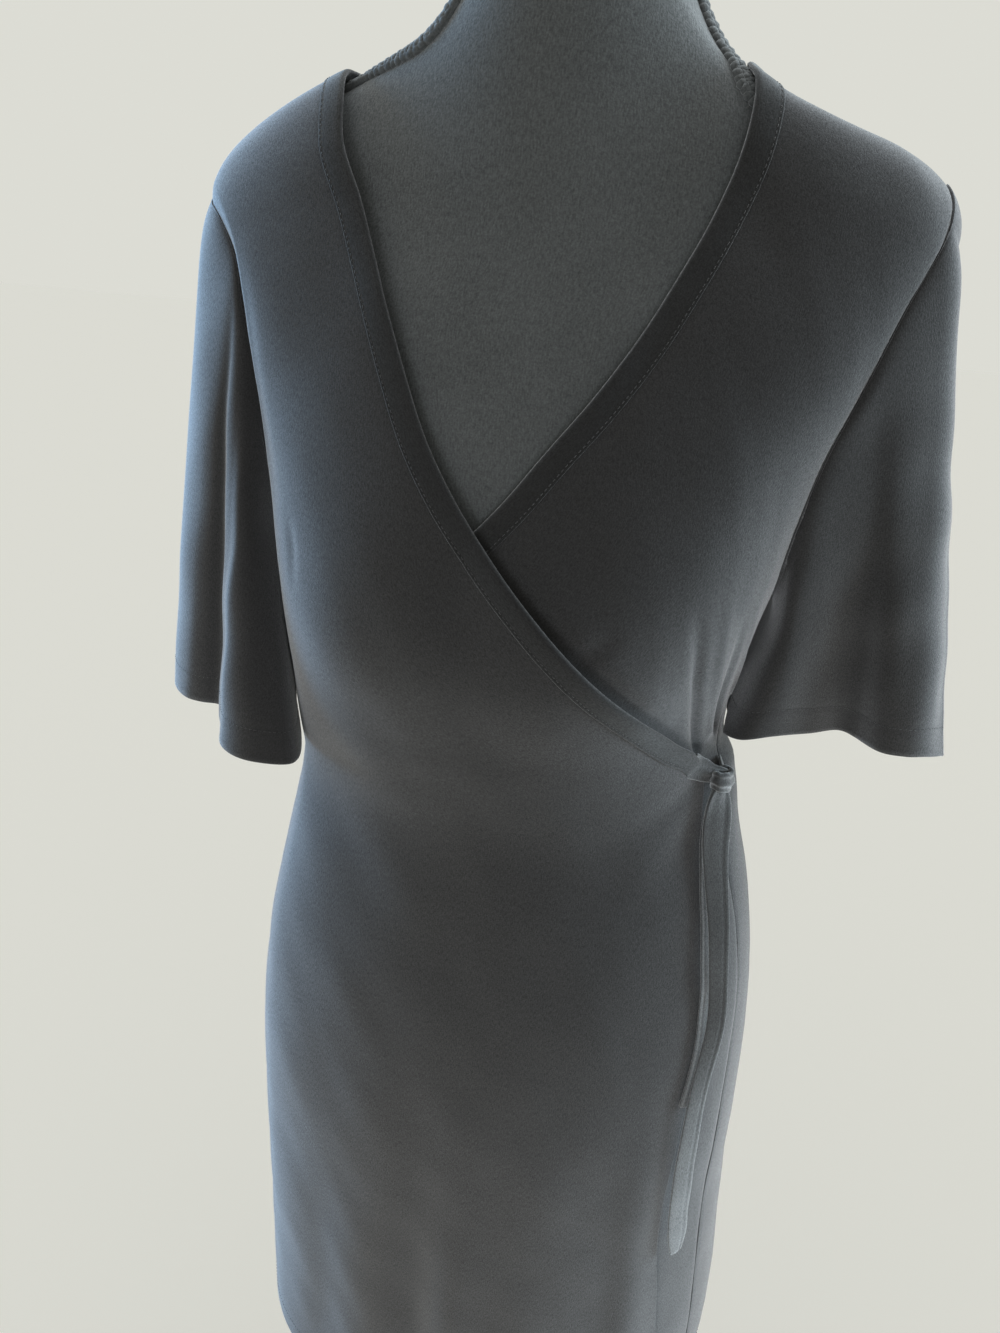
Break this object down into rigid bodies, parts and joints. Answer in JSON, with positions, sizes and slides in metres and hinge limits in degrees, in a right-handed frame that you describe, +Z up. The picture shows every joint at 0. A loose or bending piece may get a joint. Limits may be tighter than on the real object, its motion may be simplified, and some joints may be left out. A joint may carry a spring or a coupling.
{
  "type": "wrap dress on a dress form",
  "caption": "Black wrap dress with elbow-length flared sleeves and a side tie, worn on a limbless dress form on a round-based stand.",
  "frame": {"origin": "middle of the stand's underside, on the floor", "axes": "+Z up along the pole, -Y to the front of the dress, +X to the wearer's left"},
  "size_m": [0.525, 0.34, 1.55],
  "materials": {
    "crepe": "matt black stretch crepe with a fine grain and a faint cool sheen",
    "jersey": "matt charcoal jersey stretched over the form",
    "steel": "satin black paint"
  },
  "bodies": {
    "root": {"front_right": "crepe", "front_left": "crepe", "back": "crepe", "sleeve_right": "crepe", "sleeve_left": "crepe", "neck_band_right": "crepe", "neck_band_left": "crepe", "neck_band_back": "crepe", "tie_front": "crepe", "tie_side": "crepe", "tie_side_root": "crepe", "tie_knot": "crepe", "form_torso": "jersey", "stand_pole": "steel", "stand_base": "steel"}
  },
  "joints": []
}
